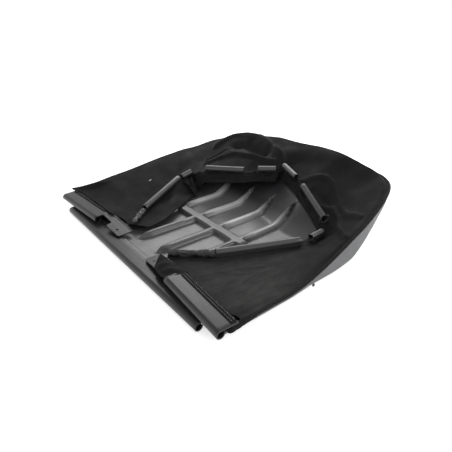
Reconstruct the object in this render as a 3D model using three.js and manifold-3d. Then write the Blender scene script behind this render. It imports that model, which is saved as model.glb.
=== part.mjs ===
// A lawn mower's grass collection bag, folded flat as it comes out of its box.
// A ribbed plastic pan carries three clip channels along its front edge, and fabric
// sides and rear that are folded inward, with a row of clips on their free hem.
// Millimetres: X runs across the front, Y from the front edge to the rear, Z up.
import * as THREE from 'three';
import Module from 'manifold-3d';
import { mergeVertices } from 'three/addons/utils/BufferGeometryUtils.js';

// Moulded pan
const PAN_WIDTH = 500;
const PAN_DEPTH = 430;
const PAN_WALL = 2.2;
const FLOOR_REAR = 1.3;
const FLOOR_PITCH = 1.65;
const RAMP_START = 284;
const REAR_HEIGHT = 101;
const RAMP_BEND = 12;
const BEND_BOW = 0.0022;
const BEND_BOW_REACH = 100;
const BEND_BOW_END = 220;
const CORNER_X = 62;
const CORNER_Y = 145;
const FRONT_FILLET = 8;
const REAR_FILLET = 30;
const SIDE_WALL_MIN = 3;
const SIDE_WALL_FROM = 130;
const RIGHT_RIM = 90;
const LEFT_RIM = 68;
const LEFT_SAG = 0.22;
const LEFT_SAG_REACH = 135;
const RIGHT_SAG = 0.11;
const RIGHT_SAG_REACH = 70;
const LIP_FRONT = 8.5;
const LIP_DEPTH = 18.5;
const LIP_STEP = 2.5;

// Ribs of the pan
const RIB_SPACING = 58;
const RIB_HEIGHT = 8.5;
const RIB_TOP = 6;
const RIB_BASE = 19;
const RIB_FRONT = 43;
const RIB_TIP = 30;
const RIB_FADE = 52;
const CROSS_RIB_Y = 175;
const CROSS_RIB_TOP = 13;
const CROSS_RIB_BASE = 24;
const CROSS_RIB_REACH = 114;

// Channels of the front edge, which clip round a 10 mm frame rod
const CHANNEL_RADIUS = 6.75;
const CHANNEL_WALL = 1.7;
const CHANNEL_SLOT_FROM = 352;
const FLANGE_DEPTH = 27;
const BOTTOM_LENGTH = 430;
const BOTTOM_FLANGE_DEPTH = 20;
const SIDE_LENGTH = 210;
const SIDE_CLIP_LENGTH = 136;
const SIDE_OUTER_X = 255;
const SIDE_OUTER_Y = 4;
const SIDE_YAW = 4;
const WINDOW_LENGTH = 32;
const WINDOW_DEPTH = 11;
const TAB_DROOP = 8;
const TAB_CORNER = 5;
const TAB_HOLE = 4;
const TAB_HOLE_INSET = 18;
const TAB_OVERLAP = 1.1;
const TAPE_WIDTH = 9;
const TAPE_THICKNESS = 0.9;

// Fabric
const FABRIC = 2;
const BINDING_RADIUS = 3;
const HEM_WIDTH = 50;
const HEM_SLACK = 3;
const FOLD_BLEND = 0.02;
const FRONT_REACH = 14;
const CORNER_REACH = 24;
const HEM_ROLL_RADIUS = 5;
const HEM_ROLL_LOBE = 1.1;

// Clips of the hem
const CLIP_RADIUS = 6.2;
const CLIP_WALL = 1.4;
const CLIP_LEG = 7.2;
const CLIP_MOUTH = 55;

const STUD_RADIUS = 2.5;
const STUD_HEIGHT = 2;
const STUD_Y = 184;

// Touching pieces keep this gap.
const GAP = 0.3;

// The hem from its front right end, round the rear, to its front left end. x and y place
// the clip axis on the pan, in halves of its width and in its depth, and rim is the share
// of the rim's length behind it. In hem widths, lift is the axis's height above the pan,
// and strip and drop say how far the hem reaches inward and down.
const HEM = [
  { x: 0.248, y: 0.116, lift: 0.21, rim: 0.012, strip: 0.28, drop: 0 },
  { x: 0.448, y: 0.253, lift: 0.21, rim: 0.075, strip: 0.3, drop: 0 },
  { x: 0.708, y: 0.547, lift: 0.53, rim: 0.165, strip: 0.3, drop: 0.1 },
  { x: 0.728, y: 0.595, lift: 0.53, rim: 0.186, strip: 0.28, drop: 0.12 },
  { x: 0.724, y: 0.665, lift: 0.44, rim: 0.225, strip: 0.26, drop: 0.12 },
  { x: 0.668, y: 0.712, lift: 0.46, rim: 0.3, strip: 0.2, drop: 0.24 },
  { x: 0.352, y: 0.786, lift: 0.46, rim: 0.37, strip: 0.16, drop: 0.32 },
  { x: 0.252, y: 0.805, lift: 0.57, rim: 0.4, strip: 0.16, drop: 0.32 },
  { x: 0.06, y: 0.844, lift: 0.5, rim: 0.455, strip: 0.16, drop: 0.32 },
  { x: 0.036, y: 0.802, lift: 0.66, rim: 0.5, strip: 0.16, drop: 0.32 },
  { x: -0.072, y: 0.747, lift: 0.9, rim: 0.535, strip: 0.16, drop: 0.32 },
  { x: -0.152, y: 0.7, lift: 0.98, rim: 0.56, strip: 0.16, drop: 0.32 },
  { x: -0.424, y: 0.593, lift: 1.08, rim: 0.635, strip: 0.2, drop: 0.4 },
  { x: -0.56, y: 0.558, lift: 0.86, rim: 0.7, strip: 0.52, drop: 0.48 },
  { x: -0.564, y: 0.502, lift: 0.74, rim: 0.76, strip: 0.88, drop: 0.4 },
  { x: -0.56, y: 0.479, lift: 0.72, rim: 0.79, strip: 1, drop: 0.44 },
  { x: -0.364, y: 0.223, lift: 0.28, rim: 0.93, strip: 1, drop: 0.06 },
  { x: -0.248, y: 0.13, lift: 0.21, rim: 0.988, strip: 0.52, drop: 0 },
];
// The stations where the right, rear and left fabric meet.
const RIGHT_JOINT = 5;
const LEFT_JOINT = 13;
const LAST = HEM.length - 1;
const CLIP_NAMES = [
  'right_long', 'right_short', 'rear_right_long', 'rear_right_short',
  'rear_left_short', 'rear_left_long', 'left_short', 'left_long',
];
// How high the fabric stands above the rim before it folds inward, in hem widths, by rim share.
const FOLDS = [
  [0, 0.04], [0.28, 0.06], [0.33, 0.14], [0.36, 0.34], [0.46, 0.34], [0.52, 0.24], [0.56, 0.18], [0.61, 0.26],
  [0.67, 0.1], [0.72, 0.08], [0.77, 0.2], [0.82, 0.58], [0.87, 0.76], [0.92, 0.78], [1, 0.46],
];
// The slack folds of the rear fabric, each a line on the pan given as x and y in HEM, with its
// height and width in hem widths. A hollow's height is below nothing.
const CREASES = [
  { line: [[-0.76, 0.81], [-0.71, 0.9], [-0.6, 0.955], [-0.44, 0.96], [0, 0.87]], lift: 0.16, width: 0.2 },
  { line: [[-0.5, 0.84], [-0.4, 0.88], [-0.24, 0.875]], lift: -0.26, width: 0.36 },
  { line: [[-0.58, 0.66], [-0.44, 0.775], [-0.28, 0.8], [-0.06, 0.845]], lift: 0.12, width: 0.18 },
  { line: [[0.32, 0.84], [0.48, 0.85], [0.6, 0.815], [0.7, 0.79], [0.94, 0.72]], lift: 0.1, width: 0.18 },
  { line: [[0.56, 0.775], [0.64, 0.785], [0.72, 0.76], [0.78, 0.725], [0.96, 0.61]], lift: 0.1, width: 0.16 },
];

const rad = THREE.MathUtils.degToRad;
const lerp = THREE.MathUtils.lerp;
const clamp = THREE.MathUtils.clamp;
const smooth = THREE.MathUtils.smoothstep;
const vec = (x, y, z) => new THREE.Vector3(x, y, z);
const wasm = await Module();
wasm.setup();

const smoothMax = (a, b, soft) => (a + b + Math.sqrt((a - b) ** 2 + soft ** 2)) / 2;
const trapezoid = (distance, top, base) => clamp((base / 2 - Math.abs(distance)) * 2 / (base - top), 0, 1);

function table(rows, value) {
  const above = rows.findIndex((row) => row[0] >= value);
  const next = clamp(above < 0 ? rows.length : above, 1, rows.length - 1);
  const [low, high] = [rows[next - 1], rows[next]];
  return lerp(low[1], high[1], clamp((value - low[0]) / (high[0] - low[0]), 0, 1));
}

function solid(geometry) {
  const bare = geometry.clone();
  bare.deleteAttribute('normal');
  bare.deleteAttribute('uv');
  const merged = mergeVertices(bare, 1e-5);
  return new wasm.Manifold(new wasm.Mesh({
    numProp: 3,
    vertProperties: new Float32Array(merged.attributes.position.array),
    triVerts: new Uint32Array(merged.index.array),
  }));
}

function geometryOf(body) {
  const mesh = body.getMesh();
  const geometry = new THREE.BufferGeometry();
  geometry.setAttribute('position', new THREE.BufferAttribute(mesh.vertProperties, 3));
  geometry.setIndex(new THREE.BufferAttribute(mesh.triVerts, 1));
  return geometry;
}

// A closed solid of even thickness round a grid of points on its middle surface.
function sheet(grid, thickness) {
  const rows = grid.length;
  const columns = grid[0].length;
  const flat = grid.flat();
  const index = [];
  const at = (row, column) => row * columns + column;
  const quad = (a, b, c, d) => index.push(a, b, c, a, c, d);
  for (let row = 0; row < rows - 1; row += 1) {
    for (let column = 0; column < columns - 1; column += 1) {
      quad(at(row, column), at(row, column + 1), at(row + 1, column + 1), at(row + 1, column));
    }
  }
  const middle = new THREE.BufferGeometry().setFromPoints(flat);
  middle.setIndex(index.slice());
  middle.computeVertexNormals();
  const normals = middle.attributes.normal;
  const out = flat.map((_, k) => vec(normals.getX(k), normals.getY(k), normals.getZ(k)));
  const points = [1, -1].flatMap((side) => (
    flat.map((point, k) => point.clone().addScaledVector(out[k], side * thickness / 2))
  ));
  const below = rows * columns;
  for (const k of [...Array(index.length / 3).keys()]) {
    index.push(below + index[3 * k], below + index[3 * k + 2], below + index[3 * k + 1]);
  }
  const edge = (a, b) => quad(b, a, below + a, below + b);
  for (let column = 0; column < columns - 1; column += 1) {
    edge(at(0, column), at(0, column + 1));
    edge(at(rows - 1, column + 1), at(rows - 1, column));
  }
  for (let row = 0; row < rows - 1; row += 1) {
    edge(at(row + 1, 0), at(row, 0));
    edge(at(row, columns - 1), at(row + 1, columns - 1));
  }
  const geometry = new THREE.BufferGeometry().setFromPoints(points);
  geometry.setIndex(index);
  return geometry;
}

function material(color, roughness, metalness = 0) {
  return new THREE.MeshStandardMaterial({ color, roughness, metalness, side: THREE.DoubleSide });
}

const panPlastic = () => material(0x33363a, 0.32);
const channelPlastic = () => material(0x2c2e31, 0.38);
const fabricWeave = () => material(0x1c1b1b, 0.85);
const bindingTape = () => material(0x121212, 0.9);

const bag = new THREE.Group();

function add(name, geometry, surface, parent = bag) {
  const mesh = new THREE.Mesh(geometry, surface);
  mesh.name = name;
  parent.add(mesh);
  return mesh;
}

// Moulded pan: its form, its rim and what lies on it

const ribCentres = [-1.5, -0.5, 0.5, 1.5].map((place) => place * RIB_SPACING);
const flangeUnder = CHANNEL_RADIUS * 2 - CHANNEL_WALL;

const floorTop = (y) => FLOOR_REAR + (RAMP_START - y) * Math.tan(rad(FLOOR_PITCH));

function rampTop(x, y) {
  const reach = Math.abs(x);
  const bow = BEND_BOW * Math.min(reach, BEND_BOW_REACH) ** 2;
  const bend = RAMP_START - bow * (1 - smooth(reach, BEND_BOW_REACH, BEND_BOW_END));
  const side = PAN_WIDTH / 2 - CORNER_X;
  const left = LEFT_SAG * smooth(-x, side - LEFT_SAG_REACH, side);
  const right = RIGHT_SAG * smooth(x, side - RIGHT_SAG_REACH, side);
  return FLOOR_REAR + (REAR_HEIGHT - FLOOR_REAR) * (1 - left - right) * (y - bend) / (PAN_DEPTH - bend);
}

const baseTop = (x, y) => smoothMax(floorTop(y), rampTop(x, y), RAMP_BEND * 0.4);
const ribFade = (y) => 1 - smooth(y, RAMP_START, RAMP_START + RIB_FADE);

function ribShare(x, y) {
  const front = smooth(y, RIB_FRONT, RIB_FRONT + RIB_TIP);
  const long = Math.max(...ribCentres.map((centre) => trapezoid(x - centre, RIB_TOP, RIB_BASE)));
  const ends = trapezoid(x, CROSS_RIB_REACH * 2 - RIB_TOP, CROSS_RIB_REACH * 2);
  const cross = trapezoid(y - CROSS_RIB_Y, CROSS_RIB_TOP, CROSS_RIB_BASE) * ends;
  return Math.max(long * front * ribFade(y), cross);
}

function panTop(x, y) {
  const lipTop = flangeUnder - GAP;
  const step = smooth(y, LIP_FRONT + LIP_DEPTH, LIP_FRONT + LIP_DEPTH + LIP_STEP);
  return lerp(lipTop, baseTop(x, y), step) + RIB_HEIGHT * ribShare(x, y);
}

// The lowest height at which a flat piece clears the ribs.
function ribClear(x, y) {
  const besideRibs = smooth(Math.abs(x), CROSS_RIB_REACH, CROSS_RIB_REACH + RIB_SPACING);
  return baseTop(x, y) + RIB_HEIGHT * ribFade(y) * (1 - besideRibs);
}

function halfWidth(y) {
  const turn = clamp((y - PAN_DEPTH + CORNER_Y) / CORNER_Y, 0, 1);
  return PAN_WIDTH / 2 - CORNER_X * (1 - Math.sqrt(1 - turn ** 2));
}

function rimHeight(side, y) {
  const high = side > 0 ? RIGHT_RIM : LEFT_RIM;
  const low = floorTop(SIDE_WALL_FROM) + SIDE_WALL_MIN;
  const rise = lerp(low, high, smooth(y, SIDE_WALL_FROM, PAN_DEPTH - 10));
  return Math.max(rise, panTop(side * halfWidth(y), y) + SIDE_WALL_MIN);
}

function panGrid() {
  const tip = RIB_FRONT + RIB_TIP;
  const lipEnd = LIP_FRONT + LIP_DEPTH;
  const cross = [-CROSS_RIB_BASE / 2, -CROSS_RIB_TOP / 2, CROSS_RIB_TOP / 2, CROSS_RIB_BASE / 2]
    .map((offset) => CROSS_RIB_Y + offset);
  const rampRows = [0.08, 0.18, 0.3, 0.45, 0.62, 0.76, 0.87, 0.94, 0.98, 1]
    .map((share) => lerp(RAMP_START, PAN_DEPTH, share));
  const bendRows = [-34, -24, -16, -8, 0].map((offset) => RAMP_START + offset);
  const rows = [
    LIP_FRONT, lipEnd, lipEnd + LIP_STEP, RIB_FRONT, lerp(RIB_FRONT, tip, 0.25), lerp(RIB_FRONT, tip, 0.5),
    lerp(RIB_FRONT, tip, 0.75), tip, lerp(tip, cross[0], 0.33), lerp(tip, cross[0], 0.66), ...cross,
    lerp(cross[3], bendRows[0], 0.33), lerp(cross[3], bendRows[0], 0.66), ...bendRows, ...rampRows,
  ];
  const ribEdges = ribCentres.flatMap((centre) => (
    [-RIB_BASE / 2, -RIB_TOP / 2, RIB_TOP / 2, RIB_BASE / 2].map((offset) => centre + offset)
  ));
  const outerRib = ribEdges[ribEdges.length - 1];
  const inner = [...ribEdges, 0].sort((a, b) => a - b);
  return rows.map((y) => {
    const sideOf = (side) => {
      const foot = panTop(side * halfWidth(y), y);
      const rim = rimHeight(side, y);
      const round = lerp(FRONT_FILLET, REAR_FILLET, smooth(y, RAMP_START - CORNER_X, PAN_DEPTH - CORNER_X));
      const fillet = Math.min(round, (rim - foot) * 0.8);
      const edge = halfWidth(y) - PAN_WALL / 2 - fillet;
      const floor = [0.25, 0.5, 0.75, 1].map((share) => lerp(outerRib, edge, share));
      const points = floor.map((x) => vec(side * x, y, panTop(side * x, y) - PAN_WALL / 2));
      for (const angle of [30, 60, 90].map(rad)) {
        const up = fillet * (1 - Math.cos(angle)) - PAN_WALL / 2;
        points.push(vec(side * (edge + fillet * Math.sin(angle)), y, foot + up));
      }
      points.push(vec(side * (edge + fillet), y, lerp(foot + fillet, rim, 0.5)));
      points.push(vec(side * (edge + fillet), y, rim));
      return points;
    };
    const middle = inner.map((x) => vec(x, y, panTop(x, y) - PAN_WALL / 2));
    return [...sideOf(-1).reverse(), ...middle, ...sideOf(1)];
  });
}

const pan = panGrid();
add('moulded_pan', sheet(pan, PAN_WALL), panPlastic());

// The axis of the rim's binding, from the front right, round the rear, to the front left.
const sideRows = pan.slice(2);
const [rearEdge, rearInner] = [pan[pan.length - 1], pan[pan.length - 2]];
const rimEdge = [
  ...sideRows.map((row) => [row[row.length - 1], row[row.length - 2]]),
  ...rearEdge.map((point, k) => [point, rearInner[k]]).slice(8, -8).reverse(),
  ...sideRows.map((row) => [row[0], row[1]]).reverse(),
];
const rimPoints = rimEdge.map(([edge, inner], k) => {
  const away = edge.clone().sub(inner).normalize();
  const before = rimEdge[Math.max(k - 1, 0)][0];
  const after = rimEdge[Math.min(k + 1, rimEdge.length - 1)][0];
  const lean = away.clone().cross(after.clone().sub(before).normalize()).length();
  return edge.clone().addScaledVector(away, (BINDING_RADIUS + GAP * 1.5) / lean);
});
const rim = new THREE.CatmullRomCurve3(rimPoints, false, 'centripetal');
rim.arcLengthDivisions = 2000;

class BindingPath extends THREE.Curve {
  constructor(from, to) {
    super();
    this.from = from;
    this.to = to;
  }

  getPoint(share) {
    return rim.getPointAt(lerp(this.from, this.to, share));
  }
}

const jointShare = (GAP / 2 + BINDING_RADIUS * 0.1) / rim.getLength();

function binding(name, from, to, steps) {
  const round = new THREE.Shape().absarc(0, 0, BINDING_RADIUS, 0, Math.PI * 2);
  const path = new BindingPath(from + jointShare, to - jointShare);
  add(name, new THREE.ExtrudeGeometry(round, { steps, curveSegments: 4, extrudePath: path }), bindingTape());
}

binding('binding_right', jointShare, HEM[RIGHT_JOINT].rim, 26);
binding('binding_rear', HEM[RIGHT_JOINT].rim, HEM[LEFT_JOINT].rim, 34);
binding('binding_left', HEM[LEFT_JOINT].rim, 1 - jointShare, 26);

const stud = new THREE.CylinderGeometry(STUD_RADIUS, STUD_RADIUS, STUD_HEIGHT, 16);
stud.rotateZ(Math.PI / 2);
const studMesh = add('wall_stud', stud, panPlastic());
const studZ = floorTop(STUD_Y) + FRONT_FILLET / 4;
studMesh.position.set(halfWidth(STUD_Y) + GAP + STUD_HEIGHT / 2, STUD_Y, studZ);

// Channels of the front edge

function clipSection(radius, wall, flange) {
  const from = Math.PI / 2;
  const to = rad(CHANNEL_SLOT_FROM);
  const section = new THREE.Shape();
  section.moveTo(flange, radius);
  section.lineTo(0, radius);
  section.absarc(0, 0, radius, from, to, false);
  section.absarc(0, 0, radius - wall, to, from, true);
  section.lineTo(flange, radius - wall);
  return section;
}

const extruded = (outline, depth, curveSegments) => (
  new THREE.ExtrudeGeometry(outline, { depth, bevelEnabled: false, curveSegments })
);
const alongX = new THREE.Matrix4().makeBasis(vec(0, 1, 0), vec(0, 0, 1), vec(1, 0, 0));

function channel(length, flange) {
  const section = clipSection(CHANNEL_RADIUS, CHANNEL_WALL, flange);
  return extruded(section, length, 10).applyMatrix4(alongX);
}

// The flat tab past the clip, with the window between them and its fixing hole.
function tab() {
  const plate = new THREE.Shape();
  const end = SIDE_LENGTH - SIDE_CLIP_LENGTH;
  const front = -CHANNEL_RADIUS * 0.3;
  plate.moveTo(-TAB_OVERLAP, WINDOW_DEPTH);
  plate.lineTo(WINDOW_LENGTH - TAB_CORNER, WINDOW_DEPTH);
  plate.quadraticCurveTo(WINDOW_LENGTH, WINDOW_DEPTH, WINDOW_LENGTH, WINDOW_DEPTH - TAB_CORNER);
  plate.lineTo(WINDOW_LENGTH, front + TAB_CORNER);
  plate.quadraticCurveTo(WINDOW_LENGTH, front, WINDOW_LENGTH + TAB_CORNER, front);
  plate.lineTo(end - TAB_CORNER, front);
  plate.lineTo(end, FLANGE_DEPTH);
  plate.lineTo(-TAB_OVERLAP, FLANGE_DEPTH);
  const hole = new THREE.Path();
  hole.absarc(end - TAB_HOLE_INSET, front + TAB_HOLE_INSET / 2, TAB_HOLE / 2, 0, Math.PI * 2, true);
  plate.holes.push(hole);
  const geometry = extruded(plate, CHANNEL_WALL, 5);
  geometry.rotateY(rad(TAB_DROOP));
  return geometry.translate(SIDE_CLIP_LENGTH, 0, CHANNEL_RADIUS - CHANNEL_WALL);
}

function mirrored(geometry) {
  geometry.scale(-1, 1, 1);
  const order = geometry.index.array;
  for (let k = 0; k < order.length; k += 3) {
    [order[k], order[k + 1]] = [order[k + 1], order[k]];
  }
  return geometry;
}

const bottom = add('bottom_front_channel', channel(BOTTOM_LENGTH, BOTTOM_FLANGE_DEPTH), channelPlastic());
bottom.position.set(-BOTTOM_LENGTH / 2, 0, CHANNEL_RADIUS);

function sideChannel(label, side) {
  const group = new THREE.Group();
  group.position.set(side * SIDE_OUTER_X, SIDE_OUTER_Y, CHANNEL_RADIUS * 3 + GAP);
  group.rotation.z = rad(-side * SIDE_YAW);
  bag.add(group);
  const whole = geometryOf(solid(channel(SIDE_CLIP_LENGTH, FLANGE_DEPTH)).add(solid(tab())));
  const tape = new THREE.BoxGeometry(SIDE_CLIP_LENGTH - TAPE_WIDTH, TAPE_WIDTH, TAPE_THICKNESS);
  tape.translate(
    SIDE_CLIP_LENGTH / 2,
    FLANGE_DEPTH - TAPE_WIDTH / 2,
    CHANNEL_RADIUS + GAP + TAPE_THICKNESS / 2,
  );
  add(`${label}_front_channel`, side > 0 ? mirrored(whole) : whole, channelPlastic(), group);
  add(`${label}_flange_tape`, side > 0 ? mirrored(tape) : tape, bindingTape(), group);
}

sideChannel('left', -1);
sideChannel('right', 1);

// Clips of the hem: a round hook over the rod, with a leg that is sewn to the fabric

const hemAxis = HEM.map((station) => {
  const [x, y] = [station.x * PAN_WIDTH / 2, station.y * PAN_DEPTH];
  return vec(x, y, ribClear(x, y) + station.lift * HEM_WIDTH);
});

function hemClip(name, start, end) {
  const section = new THREE.Shape();
  const mouth = rad(-CLIP_MOUTH);
  section.absarc(0, 0, CLIP_RADIUS, mouth, Math.PI, false);
  section.lineTo(-CLIP_RADIUS, -CLIP_LEG);
  section.lineTo(-CLIP_RADIUS + CLIP_WALL, -CLIP_LEG);
  section.lineTo(-CLIP_RADIUS + CLIP_WALL, 0);
  section.absarc(0, 0, CLIP_RADIUS - CLIP_WALL, Math.PI, mouth, true);
  const along = end.clone().sub(start);
  const geometry = extruded(section, along.length(), 8);
  const forward = along.normalize();
  const outward = vec(0, 0, 1).cross(forward).normalize().negate();
  const upward = forward.clone().cross(outward.clone().negate()).normalize();
  const turn = new THREE.Matrix4().makeBasis(outward.negate(), upward, forward);
  const mesh = add(name, geometry, channelPlastic());
  mesh.quaternion.setFromRotationMatrix(turn);
  mesh.position.copy(start);
}

CLIP_NAMES.forEach((label, k) => hemClip(`clip_${label}`, hemAxis[2 * k + 1], hemAxis[2 * k + 2]));

// Fabric: the sheet from the rim to the hem, and the strip of hem inside it

const hemDrop = CLIP_LEG + GAP + FABRIC / 2;

function hemStation(place) {
  const low = Math.min(Math.floor(place), HEM.length - 2);
  const share = place - low;
  const mix = (key) => lerp(HEM[low][key], HEM[low + 1][key], share);
  const point = hemAxis[low].clone().lerp(hemAxis[low + 1], share);
  return { point, rimShare: mix('rim'), strip: mix('strip') * HEM_WIDTH, drop: mix('drop') * HEM_WIDTH };
}

// Square to the hem, toward the inside of the bag.
function squareTo(low) {
  const along = hemAxis[low + 1].clone().sub(hemAxis[low]);
  return vec(-along.y, along.x, 0).normalize();
}

function inwardOf(place) {
  const low = clamp(Math.floor(place), 0, HEM.length - 2);
  if (low % 2 || low === 0 || low === HEM.length - 2) {
    return squareTo(low);
  }
  return squareTo(low - 1).lerp(squareTo(low + 1), place - low).normalize();
}

// Fabric lies on the ribs where it would else sink below them.
function restOnRibs(point) {
  point.z = Math.max(point.z, ribClear(point.x, point.y) + FABRIC / 2 + GAP * 2);
  return point;
}

function foldHeight(rimShare) {
  const samples = [-2, -1, 0, 1, 2].map((step) => table(FOLDS, rimShare + step * FOLD_BLEND));
  return samples.reduce((sum, value) => sum + value) / samples.length * HEM_WIDTH;
}

const onPan = ([x, y]) => vec(x * PAN_WIDTH / 2, y * PAN_DEPTH, 0);
const creases = CREASES.map(({ line, lift, width }) => ({
  lift: lift * HEM_WIDTH,
  width: width * HEM_WIDTH,
  stretches: line.slice(1).map((end, k) => new THREE.Line3(onPan(line[k]), onPan(end))),
}));

// How far the slack folds lift or sink the fabric over a place of the pan.
function creaseLift(x, y) {
  const place = vec(x, y, 0);
  return creases.reduce((sum, { lift, width, stretches }) => {
    const feet = stretches.map((stretch) => stretch.closestPointToPoint(place, true, vec(0, 0, 0)));
    const away = Math.min(...feet.map((foot) => foot.distanceTo(place)));
    return sum + lift * Math.exp(-((away / width) ** 2));
  }, 0);
}

// The two front edges reach forward to the channels: under the right one's flange, and over
// the left one's tape, where the corner is also pulled outward.
function reachFront(point, place, across) {
  const right = (1 - smooth(place, 0, 0.7)) * (1 - smooth(across, 0.6, 0.78));
  const overFlange = smooth(across, 0.09, 0.16) * (1 - smooth(across, 0.74, 0.88));
  const left = smooth(place, LAST - 0.7, LAST) * overFlange;
  const flangeTop = CHANNEL_RADIUS * 4 + GAP;
  point.x -= CORNER_REACH * left * (1 - smooth(across, 0.16, 0.5));
  point.y -= FRONT_REACH * (right + left);
  point.z = lerp(point.z, flangeTop - CHANNEL_WALL - GAP - FABRIC / 2, right);
  point.z = lerp(point.z, flangeTop + TAPE_THICKNESS + GAP * 4 + FABRIC / 2, left);
}

function panelPoint(place, across) {
  const { point, rimShare } = hemStation(place);
  const inward = inwardOf(place);
  const toHem = point.clone().sub(rim.getPointAt(rimShare)).setZ(0).normalize();
  const edge = rim.getPointAt(rimShare).addScaledVector(toHem, BINDING_RADIUS + GAP + FABRIC / 2);
  edge.z += BINDING_RADIUS / 2;
  const betweenClips = Math.floor(place) % 2 ? 0 : Math.sin(Math.PI * (place - Math.floor(place)));
  const clear = CLIP_RADIUS + GAP * 2.5 + FABRIC / 2 + HEM_SLACK * betweenClips;
  const hem = point.clone().addScaledVector(inward, -clear);
  hem.z -= hemDrop;
  const result = edge.clone().lerp(hem, across);
  const fold = foldHeight(rimShare) * smooth(across, 0, 0.1) * (1 - smooth(across, 0.05, 1));
  const slack = Math.sin(Math.PI * across);
  const wave = Math.sin(place * 2.6 + across * 5) * 2.5 + Math.sin(place * 1.3 - across * 9) * 2;
  result.z += fold + slack * wave * smooth(rimShare, 0.15, 0.35) * (1 - smooth(rimShare, 0.75, 0.9));
  result.z += creaseLift(result.x, result.y) * Math.sqrt(slack);
  reachFront(result, place, across);
  return restOnRibs(result);
}

function panel(name, from, to, columns) {
  const shares = [0, 0.04, 0.09, 0.16, 0.25, 0.35, 0.45, 0.55, 0.65, 0.75, 0.85, 0.93, 1];
  const grid = shares.map((across) => (
    [...Array(columns + 1).keys()].map((k) => panelPoint(lerp(from, to, k / columns), across))
  ));
  add(name, sheet(grid, FABRIC), fabricWeave());
}

const SPLIT = 0.012;
const HEM_CORNER_GAP = 0.4;
panel('fabric_right', 0, RIGHT_JOINT - SPLIT, 22);
panel('fabric_rear', RIGHT_JOINT + SPLIT, LEFT_JOINT - SPLIT, 44);
panel('fabric_left', LEFT_JOINT + SPLIT, LAST, 22);

function hemStrip(name, from, to, columns) {
  const grid = [0, 0.33, 0.66, 1].map((across) => [...Array(columns + 1).keys()].map((k) => {
    const { point, strip, drop } = hemStation(lerp(from, to, k / columns));
    const inward = inwardOf(lerp(from, to, k / columns));
    point.addScaledVector(inward, lerp(CLIP_WALL / 2 - CLIP_RADIUS, strip, across));
    point.z -= hemDrop + drop * across ** 2;
    return restOnRibs(point);
  }));
  add(name, sheet(grid, FABRIC), fabricWeave());
}

hemStrip('hem_right', 0, RIGHT_JOINT - SPLIT, 20);
hemStrip('hem_rear', RIGHT_JOINT + SPLIT, LEFT_JOINT - HEM_CORNER_GAP, 32);
hemStrip('hem_left', LEFT_JOINT + SPLIT, LAST, 16);

// The gathered ends of the hem, rolled where no clip holds them.
function hemEnd(name, outer, inner) {
  const lobes = new THREE.Shape();
  for (let k = 0; k < 20; k += 1) {
    const angle = k * Math.PI / 10;
    const radius = HEM_ROLL_RADIUS - HEM_ROLL_LOBE * (1 - Math.cos(angle * 5)) / 2;
    lobes[k ? 'lineTo' : 'moveTo'](radius * Math.cos(angle), radius * Math.sin(angle));
  }
  const lift = vec(0, 0, HEM_ROLL_RADIUS - CLIP_LEG);
  const direction = inner.clone().sub(outer).normalize();
  const from = outer.clone().addScaledVector(direction, HEM_ROLL_RADIUS).add(lift);
  const to = inner.clone().addScaledVector(direction, -CLIP_RADIUS).add(lift);
  const path = new THREE.LineCurve3(from, to);
  add(name, new THREE.ExtrudeGeometry(lobes, { steps: 6, extrudePath: path }), fabricWeave());
}

hemEnd('hem_end_right', hemAxis[0], hemAxis[1]);
hemEnd('hem_end_left', hemAxis[LAST], hemAxis[LAST - 1]);

// The origin lies under the middle of the bag, on the ground.
const box = new THREE.Box3().setFromObject(bag);
bag.position.set(0, -(box.min.y + box.max.y) / 2, -box.min.z);
const grassBag = new THREE.Group();
grassBag.add(bag);

export default grassBag;
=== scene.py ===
# A lawn mower's grass collection bag, folded flat as a spare part: a ribbed plastic pan with
# clip channels on its front edge, and fabric sides and rear that lie folded inward over it.
import math

import bpy
import numpy as np
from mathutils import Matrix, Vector


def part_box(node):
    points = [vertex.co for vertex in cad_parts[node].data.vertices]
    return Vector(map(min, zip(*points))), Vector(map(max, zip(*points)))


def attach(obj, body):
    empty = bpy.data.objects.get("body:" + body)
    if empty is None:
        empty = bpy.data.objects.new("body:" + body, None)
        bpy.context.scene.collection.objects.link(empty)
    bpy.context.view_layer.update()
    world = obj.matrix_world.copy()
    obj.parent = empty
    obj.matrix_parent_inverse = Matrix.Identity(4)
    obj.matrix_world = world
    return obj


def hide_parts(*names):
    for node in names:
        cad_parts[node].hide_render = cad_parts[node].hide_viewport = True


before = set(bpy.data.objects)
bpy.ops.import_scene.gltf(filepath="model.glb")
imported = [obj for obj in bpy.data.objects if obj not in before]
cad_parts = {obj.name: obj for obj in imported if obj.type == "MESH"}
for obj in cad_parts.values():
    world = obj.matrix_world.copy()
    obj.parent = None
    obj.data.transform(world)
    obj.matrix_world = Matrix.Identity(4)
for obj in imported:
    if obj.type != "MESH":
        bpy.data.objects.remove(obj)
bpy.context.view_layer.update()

# The studio: a wide pale floor, a pale sky that dims overhead, and three soft lamps. The camera
# stands low beyond the bag's front right corner. Lengths from here on are millimetres on the
# bag, measured from the middle of its front channel and from the ground.
CHANNEL_RADIUS = 6.75
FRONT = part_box("bottom_front_channel")[0].y * 1000 + CHANNEL_RADIUS
MM = 0.001


def in_row(points):
    """Points of the bag in millimetres, as metres in the shared frame."""
    return (np.asarray(points, float) + np.array([0.0, FRONT, 0.0])) * MM


def aim(thing, place, target):
    thing.location = Vector(in_row(place))
    toward = Vector(in_row(target)) - thing.location
    thing.rotation_euler = toward.to_track_quat("-Z", "Y").to_euler()
    bpy.context.scene.collection.objects.link(thing)


camera = bpy.data.objects.new("camera", bpy.data.cameras.new("camera"))
camera.data.sensor_width = 36
camera.data.lens = 32.33
aim(camera, (541.0, -222.6, 380.1), (21.9, 203.8, 0))
bpy.context.scene.camera = camera
bpy.context.scene.view_settings.view_transform = "Standard"


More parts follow.
